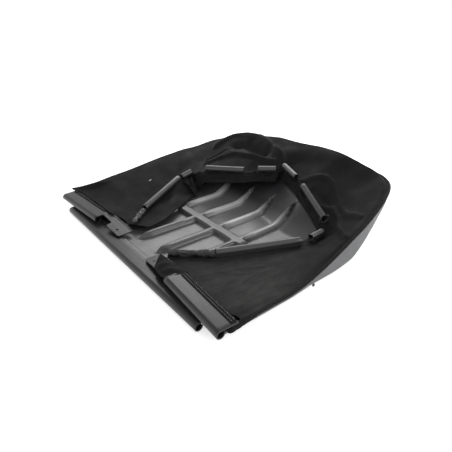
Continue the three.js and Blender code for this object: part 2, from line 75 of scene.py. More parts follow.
def softbox(name, place, target, width, height, radiance):
    lamp = bpy.data.lights.new(name, "AREA")
    lamp.shape = "RECTANGLE"
    lamp.size, lamp.size_y = width, height
    lamp.energy = radiance * math.pi * width * height
    aim(bpy.data.objects.new(name, lamp), place, target)


softbox("rear_softbox", (-830, 1000, 900), (0, 220, 20), 1.1, 0.6, 4.2)
softbox("side_softbox", (993, 915, 720), (0, 220, 20), 0.8, 0.5, 4.0)
softbox("top_softbox", (300, 100, 1500), (0, 220, 0), 1.2, 1.2, 0.8)

world = bpy.data.worlds.new("pale_studio")
bpy.context.scene.world = world
world.use_nodes = True
sky = world.node_tree
direction = sky.nodes.new("ShaderNodeTexCoord")
height = sky.nodes.new("ShaderNodeSeparateXYZ")
dimming = sky.nodes.new("ShaderNodeValToRGB")
sky.links.new(direction.outputs["Generated"], height.inputs["Vector"])
sky.links.new(height.outputs["Z"], dimming.inputs["Fac"])
dimming.color_ramp.elements[0].position = 0.45
dimming.color_ramp.elements[0].color = (1, 1, 1, 1)
dimming.color_ramp.elements[1].position = 0.75
dimming.color_ramp.elements[1].color = (0.3, 0.3, 0.3, 1)
sky.links.new(dimming.outputs["Color"], sky.nodes["Background"].inputs["Color"])


class Finish:
    """A material under way: its node tree, its shader and the few links each finish needs."""

    def __init__(self, name, color, roughness):
        self.material = bpy.data.materials.new(name)
        self.material.use_nodes = True
        self.tree = self.material.node_tree
        self.shader = self.tree.nodes["Principled BSDF"]
        self.shader.inputs["Base Color"].default_value = (*color, 1)
        self.shader.inputs["Roughness"].default_value = roughness
        self.place = self.tree.nodes.new("ShaderNodeTexCoord")

    def node(self, kind, **values):
        made = self.tree.nodes.new(kind)
        for key, value in values.items():
            if key in made.inputs:
                made.inputs[key].default_value = value
            else:
                setattr(made, key, value)
        return made

    def link(self, source, target):
        self.tree.links.new(source, target)

    def noise(self, scale, detail=4, rough=0.55, where="Object", stretch=None):
        made = self.node("ShaderNodeTexNoise", Scale=scale, Detail=detail, Roughness=rough)
        source = self.place.outputs[where]
        if stretch:
            turned = self.node("ShaderNodeMapping")
            turned.inputs["Scale"].default_value = stretch
            self.link(source, turned.inputs["Vector"])
            source = turned.outputs["Vector"]
        self.link(source, made.inputs["Vector"])
        return made.outputs["Fac"]

    def ranged(self, source, low, high, start=0.3, end=0.7):
        """A pattern's values from start to end, mapped to the range from low to high."""
        made = self.node("ShaderNodeMapRange")
        for socket, value in (("From Min", start), ("From Max", end), ("To Min", low), ("To Max", high)):
            made.inputs[socket].default_value = value
        self.link(source, made.inputs["Value"])
        return made.outputs["Result"]

    def spread(self, source, low, high, onto):
        """Maps a 0 to 1 pattern to a range of one of the shader's numbers."""
        self.link(self.ranged(source, low, high), self.shader.inputs[onto])

    def combined(self, operation, first, second):
        made = self.node("ShaderNodeMath", operation=operation)
        self.link(first, made.inputs[0])
        self.link(second, made.inputs[1])
        return made.outputs[0]

    def tint(self, source, dark, light):
        made = self.node("ShaderNodeMix", data_type="RGBA")
        self.link(source, made.inputs["Factor"])
        for socket in made.inputs:
            if socket.type == "RGBA" and socket.name in "AB":
                socket.default_value = (*(dark if socket.name == "A" else light), 1)
        out = next(socket for socket in made.outputs if socket.type == "RGBA")
        self.link(out, self.shader.inputs["Base Color"])

    def relief(self, *layers):
        """Layers of (pattern, distance in metres), each on the one before."""
        before = None
        for source, distance in layers:
            made = self.node("ShaderNodeBump", Distance=distance, Strength=1.0)
            self.link(source, made.inputs["Height"])
            if before:
                self.link(before, made.inputs["Normal"])
            before = made.outputs["Normal"]
        self.link(before, self.shader.inputs["Normal"])


FLOOR_REACH, FLOOR_LIFT = 12.0, 0.6
floor_mesh = bpy.data.meshes.new("studio_floor")
floor_corners = np.array([(-1, -1, 0), (1, -1, 0), (1, 1, 0), (-1, 1, 0)]) * FLOOR_REACH
floor_mesh.from_pydata(floor_corners.tolist(), [], [(0, 1, 2, 3)])
studio_floor = bpy.data.objects.new("studio_floor", floor_mesh)
bpy.context.scene.collection.objects.link(studio_floor)
pale_floor = Finish("pale_floor", (0.93, 0.93, 0.93), 1.0)
seen = pale_floor.node("ShaderNodeLightPath").outputs
direct = pale_floor.combined("MAXIMUM", seen["Is Camera Ray"], seen["Is Glossy Ray"])
looked_at = pale_floor.combined("MAXIMUM", direct, seen["Is Transmission Ray"])
pale_floor.link(pale_floor.ranged(looked_at, 0, FLOOR_LIFT, 0, 1),
                pale_floor.shader.inputs["Emission Strength"])
pale_floor.shader.inputs["Emission Color"].default_value = (1, 1, 1, 1)
pale_floor.shader.inputs["Specular IOR Level"].default_value = 0.0
floor_mesh.materials.append(pale_floor.material)

# The pan: one thin moulded shell of glossy black plastic. Four long ribs start in pointed tips
# behind the front lip, a cross rib joins them, and all fade out up the rear ramp. Low side
# walls grow toward the rear, where both corners have sagged, the left one more.
PAN_WIDTH, PAN_DEPTH, PAN_WALL = 500, 430, 2.2
FLOOR_REAR, FLOOR_SLOPE = 1.3, math.tan(math.radians(1.65))
RAMP_START, REAR_HEIGHT, RAMP_BEND = 284, 101, 4.8
BEND_BOW, BEND_BOW_REACH, BEND_BOW_END = 0.0022, 100, 220
CORNER_X, CORNER_Y = 62, 145
FRONT_FILLET, REAR_FILLET, FILLET_SHARE = 8, 30, 0.8
SIDE_WALL_MIN, SIDE_WALL_FROM, SIDE_WALL_TO = 3, 130, PAN_DEPTH - 10
RIGHT_RIM, RIGHT_SAG, RIGHT_SAG_REACH = 90, 0.11, 70
LEFT_RIM, LEFT_SAG, LEFT_SAG_REACH = 68, 0.22, 135
LIP_FRONT, LIP_END, LIP_STEP, LIP_TOP = 8.5, 27, 2.5, 11.5
RIB_SPACING, RIB_HEIGHT, RIB_TOP, RIB_BASE = 58, 8.5, 6, 15
RIB_PLACES = (-1.5, -0.5, 0.5, 1.5)
RIB_START, RIB_FRONT, RIB_TIP, RIB_FADE, RIB_END = 37, 43, 30, 52, RAMP_START + 60
CROSS_RIB_Y, CROSS_RIB_BASE, CROSS_RIB_REACH = 175, 24, 114
RIB_SLOPE = (RIB_BASE - RIB_TOP) / 2
POCKET_CORNER, POCKET_SHIFT = 3, 0.27
GAP = 0.3


def smooth(value, low, high):
    t = np.clip((np.asarray(value, float) - low) / (high - low), 0, 1)
    return t * t * (3 - 2 * t)


def smooth_max(a, b, soft):
    return (a + b + np.sqrt((a - b) ** 2 + soft ** 2)) / 2


def mix(a, b, share):
    return a + (b - a) * share


def floor_top(y):
    return FLOOR_REAR + (RAMP_START - y) * FLOOR_SLOPE


def base_top(x, y):
    reach = np.abs(x)
    bow = BEND_BOW * np.minimum(reach, BEND_BOW_REACH) ** 2
    bend = RAMP_START - bow * (1 - smooth(reach, BEND_BOW_REACH, BEND_BOW_END))
    side = PAN_WIDTH / 2 - CORNER_X
    sag = 1 - LEFT_SAG * smooth(-x, side - LEFT_SAG_REACH, side)
    sag = sag - RIGHT_SAG * smooth(x, side - RIGHT_SAG_REACH, side)
    ramp = FLOOR_REAR + (REAR_HEIGHT - FLOOR_REAR) * sag * (y - bend) / (PAN_DEPTH - bend)
    return smooth_max(floor_top(y), ramp, RAMP_BEND)


def rib_fade(y):
    return 1 - smooth(y, RAMP_START, RAMP_START + RIB_FADE)


def rib_height(x, y):
    """The ribs' height over the floor, from how far a place is inside the nearest rib's foot."""
    taper = np.minimum(smooth(y, RIB_START, RIB_FRONT + RIB_TIP), 1 - smooth(y, RAMP_START, RIB_END))
    nearest = np.min([np.abs(x - place * RIB_SPACING) for place in RIB_PLACES], axis=0)
    long_rib = RIB_BASE / 2 * taper - nearest
    cross_rib = np.minimum(CROSS_RIB_BASE / 2 - np.abs(y - CROSS_RIB_Y), CROSS_RIB_REACH - np.abs(x))
    inside = smooth_max(long_rib, cross_rib, POCKET_CORNER) - POCKET_SHIFT
    return RIB_HEIGHT * smooth(inside, 0, RIB_SLOPE)


def pan_top(x, y):
    step = smooth(y, LIP_END, LIP_END + LIP_STEP)
    return mix(LIP_TOP, base_top(x, y), step) + rib_height(x, y) * step


def half_width(y):
    turn = np.clip((y - PAN_DEPTH + CORNER_Y) / CORNER_Y, 0, 1)
    return PAN_WIDTH / 2 - CORNER_X * (1 - np.sqrt(1 - turn ** 2))


def rim_height(side, y):
    low = floor_top(SIDE_WALL_FROM) + SIDE_WALL_MIN
    high = RIGHT_RIM if side > 0 else LEFT_RIM
    rise = mix(low, high, smooth(y, SIDE_WALL_FROM, SIDE_WALL_TO))
    return np.maximum(rise, pan_top(side * half_width(y), y) + SIDE_WALL_MIN)


FLAT_STEPS, FILLET_STEPS, WALL_STEPS = 16, 9, 4


def pan_row(y):
    """The shell's middle surface across the pan at one depth, from the left rim to the right."""
    def side_of(side):
        foot, rim = float(pan_top(side * half_width(y), y)), float(rim_height(side, y))
        rearward = float(smooth(y, RAMP_START - CORNER_X, PAN_DEPTH - CORNER_X))
        round_off = mix(FRONT_FILLET, REAR_FILLET, rearward)
        fillet = min(round_off, (rim - foot) * FILLET_SHARE)
        edge = half_width(y) - PAN_WALL / 2 - fillet
        outer = mix(INNER[-1], edge, np.arange(1, FLAT_STEPS + 1) / FLAT_STEPS)
        points = [(side * x, y, float(pan_top(side * x, y)) - PAN_WALL / 2) for x in outer]
        for angle in np.radians(np.arange(1, FILLET_STEPS + 1) * 90 / FILLET_STEPS):
            points.append((side * (edge + fillet * math.sin(angle)), y,
                           foot + fillet * (1 - math.cos(angle)) - PAN_WALL / 2))
        for share in np.arange(1, WALL_STEPS + 1) / WALL_STEPS:
            points.append((side * (edge + fillet), y, mix(foot + fillet - PAN_WALL / 2, rim, share)))
        return points
    middle = [(x, y, float(pan_top(x, y)) - PAN_WALL / 2) for x in INNER]
    return side_of(-1)[::-1] + middle + side_of(1)


RIB_EDGE = 1.5 * RIB_SPACING + RIB_BASE / 2
INNER = np.linspace(-RIB_EDGE, RIB_EDGE, 122)
PAN_ROWS = np.concatenate([
    [LIP_FRONT, 12, 16, 19.4, 20, 20.6, 24, LIP_END], np.linspace(LIP_END + 0.6, LIP_END + LIP_STEP, 4),
    np.linspace(31, RIB_START, 4), np.linspace(RIB_START + 2, RIB_FRONT + RIB_TIP, 16),
    np.linspace(77, 158, 18), np.linspace(160, 190, 22), np.linspace(194, 262, 16),
    np.linspace(265, 350, 40), np.linspace(353, PAN_DEPTH - 20, 18),
    np.linspace(PAN_DEPTH - 16, PAN_DEPTH, 8)])
pan = np.array([pan_row(y) for y in PAN_ROWS])


def surface_directions(grid):
    """The unit normal at each point of a grid of surface points."""
    across = np.gradient(grid, axis=1)
    along = np.gradient(grid, axis=0)
    normal = np.cross(across, along)
    return normal / np.maximum(np.linalg.norm(normal, axis=2, keepdims=True), 1e-9)


def cloth_map(grid):
    """Lengths along a grid's rows and columns, in metres, which carry weave and grain."""
    across = np.linalg.norm(np.diff(grid, axis=1), axis=2).mean(axis=0)
    along = np.linalg.norm(np.diff(grid, axis=0), axis=2).mean(axis=1)
    u = np.concatenate([[0], np.cumsum(across)]) * MM
    v = np.concatenate([[0], np.cumsum(along)]) * MM
    return np.stack(np.meshgrid(u, v), axis=2)


def shell_of(grid, thickness):
    """Points, faces and map of a closed shell round a grid on its middle surface."""
    rows, columns = grid.shape[:2]
    out = surface_directions(grid) * thickness / 2
    points = np.concatenate([(grid + out).reshape(-1, 3), (grid - out).reshape(-1, 3)])
    coords = np.concatenate([cloth_map(grid).reshape(-1, 2)] * 2)
    at = np.arange(rows * columns).reshape(rows, columns)
    a, b, c, d = at[:-1, :-1], at[:-1, 1:], at[1:, 1:], at[1:, :-1]
    top = np.stack([a, b, c, d], axis=2).reshape(-1, 4)
    under = top[:, ::-1] + rows * columns
    ring = np.concatenate([at[0, :-1], at[:-1, -1], at[-1, :0:-1], at[:0:-1, 0]])
    after = np.roll(ring, -1)
    rim = np.stack([after, ring, ring + rows * columns, after + rows * columns], axis=1)
    return points, np.concatenate([top, under, rim]), coords


def make(name, points, faces, coords, finish, slot, *nodes, sharp=50):
    """A piece of the bag from points in millimetres, riding on the frame for its CAD nodes."""
    mesh = bpy.data.meshes.new(name)
    mesh.from_pydata(in_row(points).tolist(), [], [list(map(int, face)) for face in faces])
    layer = mesh.uv_layers.new(name="map")
    corners = np.zeros(len(mesh.loops), int)
    mesh.loops.foreach_get("vertex_index", corners)
    layer.data.foreach_set("uv", np.asarray(coords, float)[corners].ravel())
    mesh.shade_smooth()
    mesh.set_sharp_from_angle(angle=math.radians(sharp))
    mesh.materials.append(finish.material)
    piece = bpy.data.objects.new(name, mesh)
    bpy.context.scene.collection.objects.link(piece)
    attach(piece, "root")
    if nodes:
        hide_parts(*nodes)
    return piece


pan_plastic = Finish("pan_plastic", (0.022, 0.022, 0.024), 0.28)
# Painted sheen: an attribute on the pan's inner face, broken by stretched streaks, lightens its colour
# from near black toward pale grey, in place of reflection.
painted_sheen = pan_plastic.node("ShaderNodeAttribute", attribute_name="painted_sheen")
sheen_streaks = pan_plastic.ranged(pan_plastic.noise(26, 4, stretch=(1.6, 0.5, 1)), 0.75, 1.15)
pan_plastic.tint(pan_plastic.combined("MULTIPLY", painted_sheen.outputs["Fac"], sheen_streaks),
                 (0.02, 0.02, 0.022), (0.44, 0.44, 0.445))
pan_plastic.spread(pan_plastic.noise(40, 4), 0.3, 0.38, "Roughness")
pan_plastic.relief((pan_plastic.noise(14, 1), 0.0009))
pan_plastic.shader.inputs["IOR"].default_value = 1.56

# Painted reflection: the pan's outer face is the same black plastic, coloured a lighter grey to stand in
# for the pale studio seen in it.
outer_plastic_painted_reflection = Finish("outer_plastic_painted_reflection", (0.1, 0.102, 0.106), 0.42)
outer_plastic_painted_reflection.tint(outer_plastic_painted_reflection.noise(7, 3), (0.088, 0.09, 0.094), (0.115, 0.117, 0.121))
outer_plastic_painted_reflection.spread(outer_plastic_painted_reflection.noise(50, 4), 0.36, 0.5, "Roughness")
outer_plastic_painted_reflection.relief((outer_plastic_painted_reflection.noise(16, 1), 0.0006))

pan_shell = make("pan_shell", *shell_of(pan, PAN_WALL), pan_plastic, "pan_plastic", "moulded_pan")
pan_shell.data.materials.append(outer_plastic_painted_reflection.material)
# Where the painted sheen lies: from behind the cross rib to the ramp, partly on the floor, and faintly
# over the pan ahead of the cross rib.
SHEEN_START, SHEEN_END, SHEEN_ON_FLOOR, SHEEN_AHEAD = 178, 292, 0.26, 0.1


def painted_sheen_share(x, y):
    """How much painted sheen lightens the pan's colour: most on the ribs behind the cross rib."""
    zone = smooth(y, SHEEN_START, SHEEN_START + 40) * (1 - smooth(y, SHEEN_END - 20, SHEEN_END + 16))
    rib = rib_height(x, y) / RIB_HEIGHT
    wear_and_sheen = SHEEN_ON_FLOOR + (1 - SHEEN_ON_FLOOR) * rib ** 2
    ahead = SHEEN_AHEAD * (1 - smooth(y, SHEEN_START - 20, SHEEN_START))
    return zone * wear_and_sheen * (1 - 0.5 * smooth(x, 20, 120)) + ahead


inner = pan.reshape(-1, 3)
painted_sheen_by = np.concatenate([painted_sheen_share(inner[:, 0], inner[:, 1]), np.zeros(len(inner))])
pan_shell.data.attributes.new("painted_sheen", "FLOAT", "POINT").data.foreach_set("value", painted_sheen_by)
inner_faces = (pan.shape[0] - 1) * (pan.shape[1] - 1)
outer_faces = len(pan_shell.data.polygons) - inner_faces
pan_shell.data.polygons.foreach_set("material_index", [0] * inner_faces + [1] * outer_faces)

# The stud: a small round boss with a domed face, moulded low on the pan's right wall.
STUD_RADIUS, STUD_HEIGHT, STUD_Y, STUD_SIDES = 2.5, 2, 184, 24


def angles_round(sides):
    return np.arange(sides) * 2 * math.pi / sides


def ring_faces(rings, sides, first=0):
    """Faces of a closed skin over rings of points, with one face across each end."""
    faces = []
    for k in range(rings - 1):
        for j in range(sides):
            a, b = first + k * sides + j, first + k * sides + (j + 1) % sides
            faces.append((a, b, b + sides, a + sides))
    faces.append(tuple(first + j for j in range(sides - 1, -1, -1)))
    faces.append(tuple(first + (rings - 1) * sides + j for j in range(sides)))
    return faces


def turned(profile, centre, sides):
    """Points and faces of a shape turned round the X axis, from (out, radius) pairs."""
    points = [(out, radius * math.cos(a), radius * math.sin(a))
              for out, radius in profile for a in angles_round(sides)]
    return np.array(points) + np.array(centre), ring_faces(len(profile), sides)


stud_face = [(STUD_HEIGHT * out, STUD_RADIUS * radius)
             for out, radius in ((0, 1), (0.6, 1), (0.85, 0.86), (0.97, 0.6), (1, 0.3))]
stud_place = (half_width(STUD_Y) + GAP, STUD_Y, floor_top(STUD_Y) + FRONT_FILLET / 4)
stud_points, stud_faces = turned(stud_face, stud_place, STUD_SIDES)
make("moulded_stud", stud_points, stud_faces, stud_points[:, :2] * MM, pan_plastic,
     "pan_plastic", "wall_stud")

# The front channels: extruded plastic clips for the 10 mm frame rod, with a flange along one
# side. The long one sits on the pan's front lip. The two side ones lie folded in above it, and
# each ends in a flat drooping tab with one hole, past a window in its clip.
CHANNEL_WALL, CHANNEL_OPENS = 1.7, 352
BOTTOM_LENGTH, BOTTOM_FLANGE, FLANGE = 430, 20, 27
SIDE_LENGTH, SIDE_CLIP = 210, 136
SIDE_OUTER_X, SIDE_OUTER_Y, SIDE_YAW = 255, 4, math.radians(4)
WINDOW_LENGTH, WINDOW_DEPTH = 32, 11
TAB_LENGTH, TAB_FRONT, TAB_CORNER = SIDE_LENGTH - SIDE_CLIP, -CHANNEL_RADIUS * 0.3, 5
TAB_HOLE, TAB_HOLE_INSET = 4, 18
TAB_DROOP, TAB_BEND = math.radians(8), (-4, 18)
SIDES = (("left", -1), ("right", 1))


def unit(way):
    return way / np.linalg.norm(way, axis=-1, keepdims=True)


def lengths_along(line):
    """How far each point of a line is from its start, along the line."""
    return np.concatenate([[0], np.cumsum(np.linalg.norm(np.diff(line, axis=0), axis=1))])


def strip_outline(centre, wall):
    """The closed outline of a strip of even wall along its centre line, with round ends."""
    centre = np.array(centre, float)
    way = unit(np.gradient(centre, axis=0))
    left = np.stack([-way[:, 1], way[:, 0]], axis=1) * wall / 2

    def end(point, aside, ahead):
        return [point + aside * math.cos(a) + ahead * math.sin(a) * wall / 2
                for a in np.radians([30, 60, 90, 120, 150])]
    far = end(centre[-1], left[-1], way[-1])
    near = end(centre[0], -left[0], -way[0])
    return np.array([*(centre + left), *far, *(centre - left)[::-1], *near])


def clip_line(radius, wall, start, stop):
    middle = radius - wall / 2
    angles = np.radians(np.linspace(start, stop, 34))
    return [(middle * math.cos(a), middle * math.sin(a)) for a in angles]


def extruded(outline, stations, place):
    """An outline carried along stations of (distance, shrink), with closed ends."""
    way = unit(np.roll(outline, -1, axis=0) - np.roll(outline, 1, axis=0))
    inward = np.stack([-way[:, 1], way[:, 0]], axis=1)
    (x, y), (next_x, next_y) = outline.T, np.roll(outline, -1, axis=0).T
    area = np.sum(x * next_y - y * next_x)
    inward *= 1 if area > 0 else -1
    points, coords = [], []
    for distance, shrink in stations:
        for (a, b), around in zip(outline + inward * shrink, lengths_along(outline)):
            points.append(place(distance, a, b))
            coords.append((distance * MM, around * MM))
    return np.array(points), ring_faces(len(stations), len(outline)), np.array(coords)


EDGE = 0.25


def stations_of(length, steps=12):
    inner = [(s, 0.0) for s in np.linspace(EDGE, length - EDGE, steps)]
    near = EDGE * 0.3
    return [(0, EDGE), (near, near), *inner, (length - near, near), (length, EDGE)]


def channel_outline(flange):
    line = [(y, CHANNEL_RADIUS - CHANNEL_WALL / 2) for y in np.linspace(flange, 1, 8)]
    return strip_outline(line + clip_line(CHANNEL_RADIUS, CHANNEL_WALL, 90, CHANNEL_OPENS), CHANNEL_WALL)


channel_plastic = Finish("channel_plastic", (0.016, 0.016, 0.017), 0.33)
channel_plastic.tint(channel_plastic.noise(14, 3), (0.012, 0.012, 0.013), (0.021, 0.021, 0.022))
drawn = channel_plastic.noise(60, 4, where="UV", stretch=(0.4, 9, 1))
channel_plastic.spread(drawn, 0.27, 0.4, "Roughness")
channel_plastic.relief((channel_plastic.noise(160, 3, where="UV", stretch=(0.06, 5, 1)), 0.0001))


def bottom_place(distance, a, b):
    return (distance - BOTTOM_LENGTH / 2, a, b + CHANNEL_RADIUS)


bottom = extruded(channel_outline(BOTTOM_FLANGE), stations_of(BOTTOM_LENGTH, 40), bottom_place)
make("bottom_channel", *bottom, channel_plastic, "channel_plastic", "bottom_front_channel")


def side_frame(side):
    """Places a side channel's own (along, across, up) on the bag."""
    def place(distance, a, b):
        x, y = side * -distance, a
        turn = -side * SIDE_YAW
        return (side * SIDE_OUTER_X + x * math.cos(turn) - y * math.sin(turn),
                SIDE_OUTER_Y + x * math.sin(turn) + y * math.cos(turn), b + CHANNEL_RADIUS * 3 + GAP)
    return place


def tab_outline():
    """The tab's plate with its window corner and rounded ends, seen from above."""
    def corner(x, y, start, stop, radius=TAB_CORNER):
        angles = np.radians(np.linspace(start, stop, 6))
        return [(x + radius * math.cos(a), y + radius * math.sin(a)) for a in angles]
    return [(-PAN_WALL / 2, WINDOW_DEPTH),
            *corner(WINDOW_LENGTH - TAB_CORNER, WINDOW_DEPTH - TAB_CORNER, 90, 0),
            *corner(WINDOW_LENGTH + TAB_CORNER, TAB_FRONT + TAB_CORNER, 180, 270),
            *corner(TAB_LENGTH - TAB_CORNER, TAB_FRONT + TAB_CORNER, 270, 360),
            *corner(TAB_LENGTH - 2, FLANGE - 2, 0, 90, 2), (-PAN_WALL / 2, FLANGE)]


def tab_mesh(side, place):
    """The tab's plate: its outline and its hole, filled between and given the channel's wall."""
    curve = bpy.data.curves.new("tab_outline", "CURVE")
    curve.dimensions, curve.fill_mode = "2D", "BOTH"
    hole_x, hole_y = TAB_LENGTH - TAB_HOLE_INSET, TAB_FRONT + TAB_HOLE_INSET / 2
    hole = [(hole_x + TAB_HOLE / 2 * math.cos(a), hole_y + TAB_HOLE / 2 * math.sin(a))
            for a in angles_round(20)]
    for line in (tab_outline(), hole):
        spline = curve.splines.new("POLY")
        spline.points.add(len(line) - 1)
        spline.points.foreach_set("co", np.array([(x, y, 0, 1) for x, y in line], float).ravel())
        spline.use_cyclic_u = True
    curve.extrude, curve.bevel_depth, curve.bevel_resolution = CHANNEL_WALL / 2 - EDGE, EDGE, 1
    curve.offset = -EDGE
    holder = bpy.data.objects.new("tab_outline", curve)
    bpy.context.scene.collection.objects.link(holder)
    bpy.context.view_layer.update()
    mesh = bpy.data.meshes.new_from_object(holder.evaluated_get(bpy.context.evaluated_depsgraph_get()))
    points = np.zeros(len(mesh.vertices) * 3)
    mesh.vertices.foreach_get("co", points)
    points = points.reshape(-1, 3)
    faces = [tuple(polygon.vertices) for polygon in mesh.polygons]
    bpy.data.objects.remove(holder)
    bpy.data.meshes.remove(mesh)
    bend = TAB_DROOP * smooth(points[:, 0], *TAB_BEND)
    drop = np.where(points[:, 0] > 0, -points[:, 0] * np.tan(bend), 0)
    along = points[:, 0] + SIDE_CLIP
    up = points[:, 2] + CHANNEL_RADIUS - CHANNEL_WALL / 2 + drop
    placed = np.array([place(*p) for p in zip(along, points[:, 1], up)])
    return placed, faces, points[:, :2] * MM


def joined(*parts):
    points, faces, coords, count = [], [], [], 0
    for part_points, part_faces, part_coords in parts:
        points.append(part_points)
        coords.append(part_coords)
        faces += [tuple(int(k) + count for k in face) for face in part_faces]
        count += len(part_points)
    return np.concatenate(points), faces, np.concatenate(coords)


def flipped(part, side):
    """The same part with its faces turned, where mirroring has turned them in."""
    points, faces, coords = part
    return (points, [face[::-1] for face in faces], coords) if side > 0 else part


for label, side in SIDES:
    place = side_frame(side)
    clip = extruded(channel_outline(FLANGE), stations_of(SIDE_CLIP, 20), place)
    make(f"{label}_channel", *flipped(joined(clip, tab_mesh(side, place)), side),
         channel_plastic, "channel_plastic", f"{label}_front_channel")

# The flange tapes: a band of black tape along each side channel's flange, sewn through flange
# and fabric with two rows of stitches that continue onto the tab. The flange's free edge is
# moulded as a thin round lip, coloured pale as a painted highlight.
TAPE_WIDTH, TAPE_THICKNESS, TAPE_RIPPLE = 9, 0.9, 0.15
STITCH, STITCH_PITCH, THREAD, STITCH_INSETS = 2.6, 3.4, 0.32, (2.2, 6.4)
FLANGE_LIP, FLANGE_LIP_IN, FLANGE_LIP_UP, FLANGE_LIP_LEVEL = 0.75, 0.7, 0.2, 4

binding_tape = Finish("binding_tape", (0.008, 0.008, 0.008), 0.8)
tape_rib = binding_tape.node("ShaderNodeTexWave", Scale=900, Distortion=0.4)
binding_tape.link(binding_tape.place.outputs["UV"], tape_rib.inputs["Vector"])
binding_tape.tint(tape_rib.outputs["Fac"], (0.005, 0.005, 0.005), (0.012, 0.012, 0.012))
binding_tape.relief((tape_rib.outputs["Fac"], 0.0002), (binding_tape.noise(500, 3), 0.00015))
binding_tape.shader.inputs["Specular IOR Level"].default_value = 0.25


def thread(name, shade, roughness, grain, dark, light):
    """Sewing thread, mottled from dark to light by a noise of the given scale and detail."""
    made = Finish(name, (shade, shade, shade), roughness)
    made.tint(made.noise(*grain), dark, light)
    made.relief((made.noise(2600, 2), 0.0001))
    return made


# The flange stitches' thread: dark, and mottled up to pale grey by painted glints.
thread_with_painted_glints = thread("sewing_thread_painted_glints", 0.06, 0.5, (300, 3), (0.04, 0.04, 0.04), (0.4, 0.4, 0.405))
black_thread = thread("black_thread", 0.03, 0.5, (700, 2), (0.015, 0.015, 0.015), (0.07, 0.07, 0.071))


def stitch_row(line, up, pitch=STITCH_PITCH, length=STITCH, radius=THREAD):
    """Stitches along a line of points: short threads that rise from the cloth and dive back."""
    line, up = np.array(line, float), np.array(up, float)
    gone = lengths_along(line)

    def at(s, of=line):
        return np.array([np.interp(s, gone, of[:, k]) for k in range(3)])
    points, faces = [], []
    sides, shares = 6, (0, 0.12, 0.35, 0.65, 0.88, 1)
    for start in np.arange(pitch / 2, gone[-1] - length, pitch):
        faces += ring_faces(len(shares), sides, len(points))
        for share in shares:
            s = start + share * length
            centre, normal = at(s), at(s, up)
            across = unit(np.cross(unit(at(min(s + 0.2, gone[-1])) - at(s - 0.2)), normal))
            rise = radius * (1.3 * math.sin(math.pi * share) - 0.6)
            thick = radius * (0.55 + 0.45 * math.sin(math.pi * share))
            for angle in angles_round(sides):
                points.append(centre + normal * (rise + thick * math.sin(angle))
                              + across * thick * math.cos(angle))
    points = np.array(points)
    return points, faces, points[:, :2] * MM


UP, TUBE_MAP = (0, 0, 1.0), 0.02


def tube(line, radii, sides):
    """A closed tube along a line; its radius may change along it and round it."""
    line = np.array(line, float)
    radii = np.broadcast_to(radii, (len(line),)) if np.ndim(radii) < 2 else radii
    ahead = unit(np.gradient(line, axis=0))
    across = unit(np.cross(ahead, UP))
    upward = np.cross(across, ahead)
    angles = angles_round(sides)
    gone = lengths_along(line)
    points, coords = [], []
    for k in range(len(line)):
        for j, angle in enumerate(angles):
            radius = radii[k] if np.ndim(radii) < 2 else radii[k][j]
            points.append(line[k] + (across[k] * math.cos(angle) + upward[k] * math.sin(angle)) * radius)
            coords.append((gone[k] * MM, j / sides * TUBE_MAP))
    faces = [face[::-1] for face in ring_faces(len(line), sides)]
    return np.array(points), faces, np.array(coords)


# Painted highlight: the lip is coloured pale grey, far lighter than the channel's black plastic, for the
# bright line along the flange's edge.
lip_painted_highlight = Finish("lip_painted_highlight", (0.09, 0.09, 0.092), 0.3)
lip_painted_highlight.tint(lip_painted_highlight.noise(60, 3), (0.05, 0.05, 0.051), (0.15, 0.15, 0.152))
lip_painted_highlight.relief((lip_painted_highlight.noise(200, 2), 0.0001))

for label, side in SIDES:
    place = side_frame(side)
    tape_height = CHANNEL_RADIUS + GAP * 0.4 + TAPE_THICKNESS / 2
    tape_grid = np.array([
        [place(s, FLANGE - TAPE_WIDTH + a, tape_height + TAPE_RIPPLE * math.sin(s * 0.5) * a / TAPE_WIDTH)
         for a in np.linspace(0, TAPE_WIDTH, 7)] for s in np.linspace(3, SIDE_CLIP - TAPE_WIDTH, 60)])
    if side < 0:
        tape_grid = tape_grid[:, ::-1]
    make(f"{label}_tape", *shell_of(tape_grid, TAPE_THICKNESS), binding_tape, "binding_tape",
         f"{label}_flange_tape")
    rows = []
    for inset in STITCH_INSETS:
        line = [place(s, FLANGE - inset, CHANNEL_RADIUS + (TAPE_THICKNESS + GAP))
                for s in np.linspace(4, SIDE_CLIP - 8, 60)]
        tab_line = [place(s, FLANGE - inset, CHANNEL_RADIUS - (s - SIDE_CLIP) * math.tan(TAB_DROOP))
                    for s in np.linspace(SIDE_CLIP + 6, SIDE_LENGTH - 6, 30)]
        rows += [stitch_row(line, [UP] * len(line)), stitch_row(tab_line, [UP] * len(tab_line))]
    make(f"{label}_flange_stitches", *joined(*rows), thread_with_painted_glints, "binding_tape", sharp=180)
    lip = []
    for s in np.linspace(1, SIDE_LENGTH - 3, 90):
        drop = max(s - SIDE_CLIP - FLANGE_LIP_LEVEL, 0) * math.tan(TAB_DROOP)
        lip.append(place(s, FLANGE - FLANGE_LIP_IN, CHANNEL_RADIUS + FLANGE_LIP_UP - drop))
    make(f"{label}_flange_lip", *tube(lip, FLANGE_LIP, 10), lip_painted_highlight, "channel_plastic")

# The rim binding: black tape folded round the raw edge of pan and fabric and sewn through, in
# three lengths that meet near the rear corners. At the front right it ends in a thick fold.
BINDING_RADIUS, BINDING_STEP, BINDING_SIDES, RIM_POINTS = 3, 2.5, 16, 700
FOLD_STEPS, FOLD_SWELL, FOLD_LENGTH, FOLD_SINK = 4, 0.85, 60, 1.5
HEM_WIDTH = 50
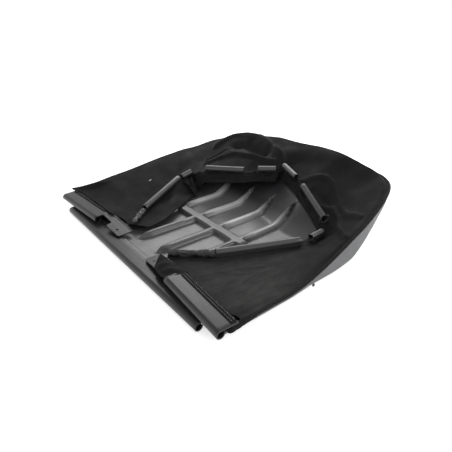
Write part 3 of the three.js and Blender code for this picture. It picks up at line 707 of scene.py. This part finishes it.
# The hem from its front right end, round the rear, to its front left end: the clip axis's x in
# halves of the pan's width and y in its depth, and in hem widths its height above the ribs;
# the share of the rim behind it; and how far the hem's strip reaches inward and down.
HEM = np.array([
    (0.248, 0.116, 0.21, 0.012, 0.28, 0), (0.448, 0.253, 0.21, 0.075, 0.3, 0),
    (0.708, 0.547, 0.53, 0.165, 0.3, 0.1), (0.728, 0.595, 0.53, 0.186, 0.28, 0.12),
    (0.724, 0.665, 0.44, 0.225, 0.26, 0.12), (0.668, 0.712, 0.46, 0.3, 0.2, 0.24),
    (0.352, 0.786, 0.46, 0.37, 0.16, 0.32), (0.252, 0.805, 0.57, 0.4, 0.16, 0.32),
    (0.06, 0.844, 0.5, 0.455, 0.16, 0.32), (0.036, 0.802, 0.66, 0.5, 0.16, 0.32),
    (-0.072, 0.747, 0.9, 0.535, 0.16, 0.32), (-0.152, 0.7, 0.98, 0.56, 0.16, 0.32),
    (-0.424, 0.593, 1.08, 0.635, 0.2, 0.4), (-0.56, 0.558, 0.86, 0.7, 0.52, 0.48),
    (-0.564, 0.502, 0.74, 0.76, 0.88, 0.4), (-0.56, 0.479, 0.72, 0.79, 1, 0.44),
    (-0.364, 0.223, 0.28, 0.93, 1, 0.06), (-0.248, 0.13, 0.21, 0.988, 0.52, 0)])
RIGHT_JOINT, LEFT_JOINT, LAST = 5, 13, 17


def rim_line():
    """The axis of the binding, just off the pan's edge, from front right round to front left."""
    first = int(np.searchsorted(PAN_ROWS, LIP_END + LIP_STEP))
    right = [(pan[k, -1], pan[k, -2]) for k in range(first, len(pan))]
    keep = FLAT_STEPS + FILLET_STEPS + 2
    rear = [(pan[-1, k], pan[-3, k]) for k in range(keep, pan.shape[1] - keep)][::-1]
    left = [(pan[k, 0], pan[k, 1]) for k in range(first, len(pan))][::-1]
    edges = right + rear + left
    line = []
    for k, (edge, inner) in enumerate(edges):
        away = unit(edge - inner)
        ahead = edges[min(k + 1, len(edges) - 1)][0] - edges[max(k - 1, 0)][0]
        lean = np.linalg.norm(np.cross(away, unit(ahead)))
        line.append(edge + away * (BINDING_RADIUS + GAP * 1.5) / lean)
    line = np.array(line)
    gone = lengths_along(line)
    even = np.linspace(0, gone[-1], RIM_POINTS)
    line = np.stack([np.interp(even, gone, line[:, k]) for k in range(3)], axis=1)
    for _ in range(12):
        line[1:-1] = (line[:-2] + 2 * line[1:-1] + line[2:]) / 4
    return line


RIM = rim_line()
RIM_LENGTH = lengths_along(RIM)[-1]
RIM_SHARES = lengths_along(RIM) / RIM_LENGTH
JOINT = GAP / 2 / RIM_LENGTH


def rim_at(share):
    return np.stack([np.interp(share, RIM_SHARES, RIM[:, k]) for k in range(3)], axis=-1)


def binding(name, start, stop, node):
    """One length of the binding, pinched at its stitches."""
    shares = np.linspace(start, stop, int((stop - start) * RIM_LENGTH / BINDING_STEP))
    line = rim_at(shares)
    angles = angles_round(BINDING_SIDES)
    fold = 1 + 0.1 * np.cos(2 * angles)
    pinch = 1 - 0.05 * (np.cos(shares[:, None] * RIM_LENGTH / STITCH_PITCH * 2 * math.pi) > 0.3)
    swell = np.ones((len(line), 1))
    if start < JOINT * 3:
        ahead = np.arange(FOLD_STEPS, 0, -1)[:, None] * BINDING_STEP
        line = np.concatenate([line[:1] - np.array([0, 1, 0]) * ahead, line])
        gone = np.arange(len(line))[:, None] * BINDING_STEP
        swell = 1 + FOLD_SWELL * (1 - smooth(gone, 4, FOLD_LENGTH)) - 0.5 * (1 - smooth(gone, 0, 3))
        pinch = np.concatenate([pinch[:FOLD_STEPS], pinch])
        line[:, 2] -= FOLD_SINK * (swell[:, 0] - 1)
    radii = BINDING_RADIUS * 0.97 * fold[None, :] * pinch * swell
    make(name, *tube(line, radii, BINDING_SIDES), binding_tape, "binding_tape", node)
    return line


bounds_of = {"right": (JOINT, HEM[RIGHT_JOINT, 3]), "rear": (HEM[RIGHT_JOINT, 3], HEM[LEFT_JOINT, 3]),
             "left": (HEM[LEFT_JOINT, 3], 1 - JOINT)}
for label, (start, stop) in bounds_of.items():
    line = binding(f"rim_binding_{label}", start + JOINT, stop - JOINT, f"binding_{label}")
    outward = unit(np.cross(unit(np.gradient(line, axis=0)), UP))
    rows = []
    for tilt in np.radians([25, 75]):
        up = outward * math.cos(tilt) + np.array(UP) * math.sin(tilt)
        rows.append(stitch_row(line + up * BINDING_RADIUS, up, STITCH_PITCH * 1.1))
    make(f"rim_stitches_{label}", *joined(*rows), black_thread, "binding_tape", sharp=180)

# The fabric: fine black mesh cloth that goes round right side, rear and left side, sewn to the
# rim and folded inward over the pan. It stands in a soft roll along the left side and falls in
# slack folds at the rear, and a patch of painted sheen lightens its right side.
FABRIC, HEM_SLACK, SEWN_IN, CLOTH_SHARE = 2, 3, 0.8, 0.6
CLIP_RADIUS, CLIP_WALL, CLIP_LEG, CLIP_MOUTH = 6.2, 1.4, 7.2, 55
HEM_DROP = CLIP_LEG + GAP + FABRIC / 2
# How high the cloth rolls over its seam, in hem widths along the rim.
FOLDS = np.array([
    (0, 0.04), (0.28, 0.06), (0.33, 0.14), (0.36, 0.34), (0.46, 0.34), (0.52, 0.24), (0.56, 0.18),
    (0.61, 0.26), (0.67, 0.1), (0.72, 0.08), (0.77, 0.2), (0.82, 0.58), (0.87, 0.76), (0.92, 0.78),
    (1, 0.46)])
FOLD_BLEND = 0.02
# Folds of the slack cloth at the rear, each a line over the pan (x and y as in HEM), with its
# height and its width in hem widths; a hollow has a height below nothing.
CREASES = [
    (((-0.76, 0.81), (-0.71, 0.9), (-0.6, 0.955), (-0.44, 0.96), (0, 0.87)), 0.19, 0.13),
    (((-0.56, 0.86), (-0.46, 0.89), (-0.24, 0.875)), -0.34, 0.3),
    (((-0.58, 0.66), (-0.44, 0.775), (-0.28, 0.8), (-0.06, 0.845)), 0.15, 0.1),
    (((-0.66, 0.7), (-0.6, 0.8), (-0.55, 0.85)), 0.07, 0.07),
    (((-0.62, 0.92), (-0.56, 0.94), (-0.5, 0.935)), 0.06, 0.06),
    (((0.552, 0.119), (0.593, 0.183), (0.642, 0.273), (0.72, 0.338)), 0.03, 0.05),
    (((0.6, 0.2), (0.7, 0.26), (0.8, 0.36)), 0.02, 0.06),
    (((0.28, 0.82), (0.34, 0.853), (0.4, 0.868), (0.46, 0.873), (0.53, 0.862), (0.6, 0.838), (0.7, 0.79),
      (0.8, 0.76), (0.92, 0.74)), 0.11, 0.1),
    (((0.57, 0.77), (0.65, 0.777), (0.74, 0.75), (0.8, 0.702), (0.95, 0.625)), 0.13, 0.09),
    (((0.44, 0.81), (0.6, 0.79)), -0.1, 0.14)]
# How far the cloth's two front edges reach to the flanges they are sewn to: the right one
# passes under its flange, the left one lies on its tape and over the channel's outer corner.
FRONT_REACH, CORNER_REACH, CORNER_FOLD = 14, 24, 9
FLANGE_TOP = CHANNEL_RADIUS * 4 + GAP


def rib_clear(x, y):
    """The height that clears the ribs' tops, for what lies on them."""
    aside = smooth(np.abs(x), CROSS_RIB_REACH, CROSS_RIB_REACH + RIB_SPACING)
    return base_top(x, y) + RIB_HEIGHT * rib_fade(y) * (1 - aside)


HEM_AXIS = np.array([(x, y, float(rib_clear(x, y)) + above * HEM_WIDTH)
                     for x, y, above in HEM[:, :3] * (PAN_WIDTH / 2, PAN_DEPTH, 1)])


def hem_at(place):
    """The hem's axis, and the rest of its row in HEM, at a place counted in rows."""
    low = min(int(place), LAST - 1)
    share = place - low
    return mix(HEM_AXIS[low], HEM_AXIS[low + 1], share), mix(HEM[low, 3:], HEM[low + 1, 3:], share)


def square_to(low):
    along = HEM_AXIS[low + 1] - HEM_AXIS[low]
    return unit(np.array([-along[1], along[0], 0]))


def inward_of(place):
    low = min(max(int(place), 0), LAST - 1)
    if low % 2 or low == 0 or low == LAST - 1:
        return square_to(low)
    return unit(mix(square_to(low - 1), square_to(low + 1), place - low))


def rest_on_ribs(grid):
    floor = rib_clear(grid[..., 0], grid[..., 1]) + FABRIC / 2 + GAP * 2
    grid[..., 2] = smooth_max(grid[..., 2], floor, 0.8)
    return grid


def fold_height(share):
    near = share + np.arange(-2, 3) * FOLD_BLEND
    return np.mean(np.interp(near, FOLDS[:, 0], FOLDS[:, 1]))


def crease_lift(x, y):
    """How far the folds lift or sink the cloth over a place of the pan."""
    total = np.zeros(np.shape(x))
    for line, height, width in CREASES:
        corners = np.array(line) * (PAN_WIDTH / 2, PAN_DEPTH)
        near = np.full(np.shape(x), 1e9)
        for (ax, ay), (bx, by) in zip(corners[:-1], corners[1:]):
            dx, dy = bx - ax, by - ay
            t = np.clip(((x - ax) * dx + (y - ay) * dy) / (dx ** 2 + dy ** 2), 0, 1)
            near = np.minimum(near, np.hypot(x - ax - t * dx, y - ay - t * dy))
        total += height * HEM_WIDTH * np.exp(-(near / (width * HEM_WIDTH)) ** 2)
    return total


def reach_front(column, place, across):
    """Carries the cloth's front edges to their flanges and lays them at the flange's height."""
    right = (1 - smooth(place, 0, 0.7)) * smooth(across, 0.02, 0.12) * (1 - smooth(across, 0.6, 0.78))
    corner = 1 - smooth(across, 0.12, 0.24)
    left = smooth(place, LAST - mix(0.7, 0.35, corner), LAST)
    left = left * smooth(across, 0.0, 0.08) * (1 - smooth(across, 0.74, 0.88))
    column[:, 0] -= CORNER_REACH * left * (1 - smooth(across, 0.16, 0.5)) + CORNER_FOLD * left * corner
    column[:, 1] -= FRONT_REACH * (right + left) + CORNER_FOLD * left * corner
    column[:, 2] = mix(column[:, 2], FLANGE_TOP - CHANNEL_WALL - FABRIC / 2 - GAP, right)
    column[:, 2] = mix(column[:, 2], FLANGE_TOP + TAPE_THICKNESS + GAP * 2 + FABRIC / 2, left)
    return column


def panel_column(place, across):
    """The cloth from the rim to the hem at one place along the hem, with its folds and sag."""
    point, (rim_share, _, _) = hem_at(place)
    inward = inward_of(place)
    rim = rim_at(rim_share)
    to_hem = unit((point - rim) * (1, 1, 0))
    edge = rim + to_hem * (BINDING_RADIUS - SEWN_IN) + np.array([0, 0, BINDING_RADIUS / 2])
    between = 0 if int(place) % 2 else math.sin(math.pi * (place - int(place)))
    hem = point - inward * (CLIP_RADIUS + GAP * 2.5 + FABRIC / 2 + HEM_SLACK * between)
    hem[2] -= HEM_DROP
    column = edge + (hem - edge) * across[:, None]
    fold = fold_height(rim_share) * HEM_WIDTH * smooth(across, 0, 0.1) * (1 - smooth(across, 0.05, 1))
    wave = np.sin(place * 2.6 + across * 5) * 2.5 + np.sin(place * 1.3 - across * 9) * 2
    slack = float(smooth(rim_share, 0.15, 0.35) * (1 - smooth(rim_share, 0.75, 0.9)))
    column[:, 2] += fold + np.sin(np.pi * across) * wave * slack
    lift = crease_lift(column[:, 0], column[:, 1])
    column[:, 2] += lift * np.sqrt(np.sin(np.pi * np.clip(across, 0, 1)))
    return reach_front(column, place, across)


mesh_cloth = Finish("mesh_cloth", (0.012, 0.0115, 0.0115), 0.8)
THREAD_PITCH = 1.5
WEAVE_SCALE = 2 * math.pi / (20 * THREAD_PITCH * MM)
# Painted sheen: a round patch on the right side's cloth, broken into streaks, is painted lighter. The
# weave and the noise give the cloth's own mottled tone.
SHEEN_PATCH_PLACE, SHEEN_PATCH_EDGE, SHEEN_PATCH_CORE, SHEEN_PATCH_LEVEL = (212, 110, 18), 0.13, 0.01, 0.68
yarns = []
for bands in "XY":
    yarn = mesh_cloth.node("ShaderNodeTexWave", Scale=WEAVE_SCALE, bands_direction=bands)
    mesh_cloth.link(mesh_cloth.place.outputs["UV"], yarn.inputs["Vector"])
    yarns.append(yarn.outputs["Fac"])
weave = mesh_cloth.combined("MULTIPLY", *yarns)
wear_and_sheen = mesh_cloth.combined("MULTIPLY", weave, mesh_cloth.noise(22, 5, 0.7))
sheen_patch_reach = mesh_cloth.node("ShaderNodeVectorMath", operation="DISTANCE")
mesh_cloth.link(mesh_cloth.place.outputs["Object"], sheen_patch_reach.inputs[0])
sheen_patch_reach.inputs[1].default_value = in_row(SHEEN_PATCH_PLACE)
sheen_patch = mesh_cloth.ranged(sheen_patch_reach.outputs["Value"], 0, SHEEN_PATCH_LEVEL, SHEEN_PATCH_EDGE, SHEEN_PATCH_CORE)
sheen_streaks = mesh_cloth.ranged(mesh_cloth.noise(110, 5, 0.7, stretch=(1, 0.3, 1)), 0.3, 0.9)
weave_tone_and_sheen = mesh_cloth.combined("ADD", mesh_cloth.combined("MULTIPLY", sheen_patch, sheen_streaks), wear_and_sheen)
mesh_cloth.tint(weave_tone_and_sheen, (0.002, 0.002, 0.002), (0.065, 0.0635, 0.0625))
mesh_cloth.spread(mesh_cloth.noise(30, 4), 0.62, 0.8, "Roughness")
mesh_cloth.relief((weave, 0.00008), (mesh_cloth.noise(60, 3), 0.0006))
mesh_cloth.shader.inputs["Specular IOR Level"].default_value = 0.13


def hem_seam(place):
    """Where the cloth ends, turned in below the clips' legs to meet the hem strip."""
    return hem_at(place)[0] - inward_of(place) * (CLIP_RADIUS - CLIP_WALL / 2 + GAP) - (0, 0, HEM_DROP)


CLOTH_ROWS, CLOTH_COLUMNS = 78, 520
places = np.linspace(0, LAST, CLOTH_COLUMNS)
rows = np.linspace(0, 1, CLOTH_ROWS)
cloth = np.array([panel_column(place, rows) for place in places]).transpose(1, 0, 2)
seam = np.array([hem_seam(place) for place in places])
cloth = np.concatenate([cloth, [mix(cloth[-1], seam, 0.5), seam]])
bag_cloth = make("bag_cloth", *shell_of(rest_on_ribs(cloth), FABRIC * CLOTH_SHARE), mesh_cloth,
                 "bag_fabric", "fabric_right", "fabric_rear", "fabric_left")

# The hem strip: the cloth's doubled edge inside the clips, which hangs toward the pan in three
# stretches. The left one is widest, and covers the pan's left ribs.
FLAP_FOLD, FLAP_SHARE, FLAP_ROWS, SPLIT = 11, 0.7, 20, 0.012


def hem_flap(name, start, stop, columns, node):
    across = np.linspace(0, 1, FLAP_ROWS)
    grid = []
    for place in np.linspace(start, stop, columns):
        point, (_, strip, drop) = hem_at(place)
        uneven = 1 + 0.14 * math.sin(place * 2.3 + 0.6)
        reach = mix(CLIP_WALL / 2 - CLIP_RADIUS, strip * HEM_WIDTH * uneven, across)
        column = point + inward_of(place) * reach[:, None]
        ripple = np.sin(place * 5.3 + across * 5) + 0.6 * np.sin(place * 9.1 - across * 7)
        folds = ripple * np.sin(np.pi * across) ** 0.7
        column[:, 2] -= HEM_DROP + drop * HEM_WIDTH * across ** 2 + FLAP_FOLD * drop * folds
        grid.append(column)
    grid = rest_on_ribs(np.array(grid).transpose(1, 0, 2))
    made = make(name, *shell_of(grid, FABRIC * FLAP_SHARE), mesh_cloth, "bag_fabric", node)


hem_flap("hem_flap_right", 0, RIGHT_JOINT - SPLIT, 110, "hem_right")
hem_flap("hem_flap_rear", RIGHT_JOINT + SPLIT, LEFT_JOINT - SPLIT, 240, "hem_rear")
hem_flap("hem_flap_left", LEFT_JOINT + SPLIT, LAST, 100, "hem_left")

# The hem clips: eight short lengths of extruded round plastic clip, four long and four short,
# each with a leg that is sewn to the hem. They grip the frame's rod when the bag is in use.
CLIP_NAMES = ["right_long", "right_short", "rear_right_long", "rear_right_short",
              "rear_left_short", "rear_left_long", "left_short", "left_long"]
leg = [(-CLIP_RADIUS + CLIP_WALL / 2, b) for b in np.linspace(-CLIP_LEG, -0.6, 6)]
clip_plastic = Finish("clip_plastic", (0.016, 0.016, 0.017), 0.28)
clip_plastic.tint(clip_plastic.noise(18, 3), (0.016, 0.016, 0.017), (0.028, 0.028, 0.03))
clip_plastic.spread(clip_plastic.noise(60, 4, where="UV", stretch=(0.4, 9, 1)), 0.33, 0.43, "Roughness")
clip_plastic.shader.inputs["IOR"].default_value = 1.75
clip_plastic.relief((clip_plastic.noise(40, 2, where="UV", stretch=(0.2, 2, 1)), 0.0001))

clip_outline = strip_outline(clip_line(CLIP_RADIUS, CLIP_WALL, -CLIP_MOUTH, 180) + leg[::-1], CLIP_WALL)
for k, label in enumerate(CLIP_NAMES):
    start, end = HEM_AXIS[2 * k + 1], HEM_AXIS[2 * k + 2]
    forward = unit(end - start)
    inward = unit(np.cross(UP, forward))
    upward = np.cross(forward, inward)

    def clip_place(distance, a, b, start=start, forward=forward, inward=inward, upward=upward):
        return start + forward * distance + inward * a + upward * b
    clip = extruded(clip_outline, stations_of(float(np.linalg.norm(end - start)), 16), clip_place)
    make(f"hem_clip_{label}", *clip, clip_plastic, "channel_plastic", f"clip_{label}")

# The gathered ends: where no clip holds the hem it is pulled together. The right one is a short
# cuff and a cone of stiff mesh tape that opens toward its clip; the left one is crushed.
hem_mesh = Finish("hem_mesh", (0.03, 0.03, 0.031), 0.6)
hem_threads = hem_mesh.node("ShaderNodeTexVoronoi", Scale=420)
hem_mesh.link(hem_mesh.place.outputs["Object"], hem_threads.inputs["Vector"])
hem_mesh.tint(hem_threads.outputs["Distance"], (0.05, 0.05, 0.052), (0.012, 0.012, 0.012))
hem_mesh.relief((hem_threads.outputs["Distance"], 0.0004), (hem_mesh.noise(70, 3), 0.0008))

# The left gather's film: glossy, and mottled with pale patches that are painted glints.
crushed_film_painted_glints = Finish("crushed_film_painted_glints", (0.03, 0.03, 0.031), 0.3)
crushed_film_painted_glints.tint(crushed_film_painted_glints.noise(90, 4), (0.014, 0.014, 0.014), (0.12, 0.12, 0.122))
crushed_film_painted_glints.spread(crushed_film_painted_glints.noise(160, 3), 0.18, 0.4, "Roughness")
crushed_film_painted_glints.relief((crushed_film_painted_glints.noise(120, 4), 0.002))

# How thick each gathered end is along its length, as pairs of share and radius.
GATHER_RINGS, GATHER_SIDES, GATHER_HEIGHT, GATHER_SHORT = 80, 48, 5, 2
GATHER_PROFILES = {
    "right": [(0, 1.6), (0.06, 5.4), (0.22, 5.0), (0.3, 2.6), (0.45, 3.6), (0.75, 5.4), (1, 6.0)],
    "left": [(0, 1.5), (0.12, 4.2), (0.3, 3.0), (0.5, 5.4), (0.7, 3.6), (0.85, 4.8), (1, 3.4)]}
for label, outer, inner, finish in (("right", HEM_AXIS[0], HEM_AXIS[1], hem_mesh),
                                    ("left", HEM_AXIS[LAST], HEM_AXIS[LAST - 1], crushed_film_painted_glints)):
    shares = np.linspace(0, 1, GATHER_RINGS)[:, None]
    length = np.linalg.norm(inner - outer) - GATHER_SHORT
    line = outer + np.array([0, 0, GATHER_HEIGHT - CLIP_LEG]) + unit(inner - outer) * shares * length
    angles = angles_round(GATHER_SIDES)
    profile = np.array(GATHER_PROFILES[label])
    radius = np.interp(shares, profile[:, 0], profile[:, 1])
    crumple = 1 + 0.1 * np.sin(shares * 21 + angles * 2) + 0.08 * np.sin(shares * 47 - angles * 3)
    crumple = crumple + 0.06 * np.sin(angles * 9 + shares * 30)
    make(f"hem_gather_{label}", *tube(line, radius * crumple, GATHER_SIDES), finish, "bag_fabric",
         f"hem_end_{label}")

# The hem loop: a turn of the hem's rolled mesh edge round the open front end of the long rear
# right clip, where the hem folds over on itself.
LOOP_RADIUS, LOOP_AHEAD, LOOP_THICKNESS = CLIP_RADIUS + 2.2, 2.5, 1.7
loop_axis = unit(HEM_AXIS[RIGHT_JOINT + 1] - HEM_AXIS[RIGHT_JOINT])
loop_side = unit(np.cross(UP, loop_axis))
loop_up = np.cross(loop_axis, loop_side)
loop_middle = HEM_AXIS[RIGHT_JOINT] - loop_axis * LOOP_AHEAD
turns = np.radians(np.linspace(-250, 20, 60))
loop_line = [loop_middle + (loop_side * math.cos(a) + loop_up * math.sin(a)) * LOOP_RADIUS
             for a in turns]
loop_radii = LOOP_THICKNESS * (1 + 0.12 * np.sin(turns * 9))
make("hem_loop", *tube(loop_line, loop_radii, 14), hem_mesh, "bag_fabric")

# The bar tack: a few tight turns of pale thread, sewn through the left side's cloth and standing
# a little proud of it.
TACK_PLACE, TACK_ACROSS, TACK_STEP, TACK_RADIUS = 15.6, 0.55, 0.008, 0.9
tack = [panel_column(TACK_PLACE + k * TACK_STEP, np.array([TACK_ACROSS]))[0] + (0, 0, TACK_RADIUS)
        for k in range(-3, 4)]
pale_thread = thread("pale_thread", 0.6, 0.6, (900, 2), (0.5, 0.5, 0.5), (0.75, 0.75, 0.75))
tack_radii = TACK_RADIUS * np.sin(np.linspace(0.35, math.pi - 0.35, len(tack)))
make("bar_tack", *tube(tack, tack_radii, 10), pale_thread, "binding_tape")

# The tucked cloth: by the right tab the side cloth's corner is pulled forward over the flange
# and sags into the window beside the clip.
REAR_CORNERS = np.array([(64, 36, 28.6), (132, 41, 28.8)])
FRONT_CORNERS = np.array([(80, 15, 22.5), (118, 10, 24)])
TUCK_CROWN, TUCK_RIPPLE, TUCK_BULGE = 2.6, 0.8, 3
tuck = []
for v in np.linspace(0, 1, 28):
    inner_end, outer_end = mix(REAR_CORNERS, FRONT_CORNERS, v)
    for u in np.linspace(0, 1, 44):
        crown = TUCK_CROWN * math.sin(math.pi * u) * math.sin(math.pi * min(v * 1.15, 1))
        ripple = TUCK_RIPPLE * math.sin(u * 17 + v * 5) * math.sin(math.pi * v)
        bulge = TUCK_BULGE * math.sin(math.pi * u) * v
        tuck.append(mix(inner_end, outer_end, u) + (0, -bulge, crown + ripple))
tuck = np.array(tuck).reshape(28, 44, 3)[::-1]
tucked_cloth = make("tucked_cloth", *shell_of(tuck, FABRIC * CLOTH_SHARE), mesh_cloth, "bag_fabric")
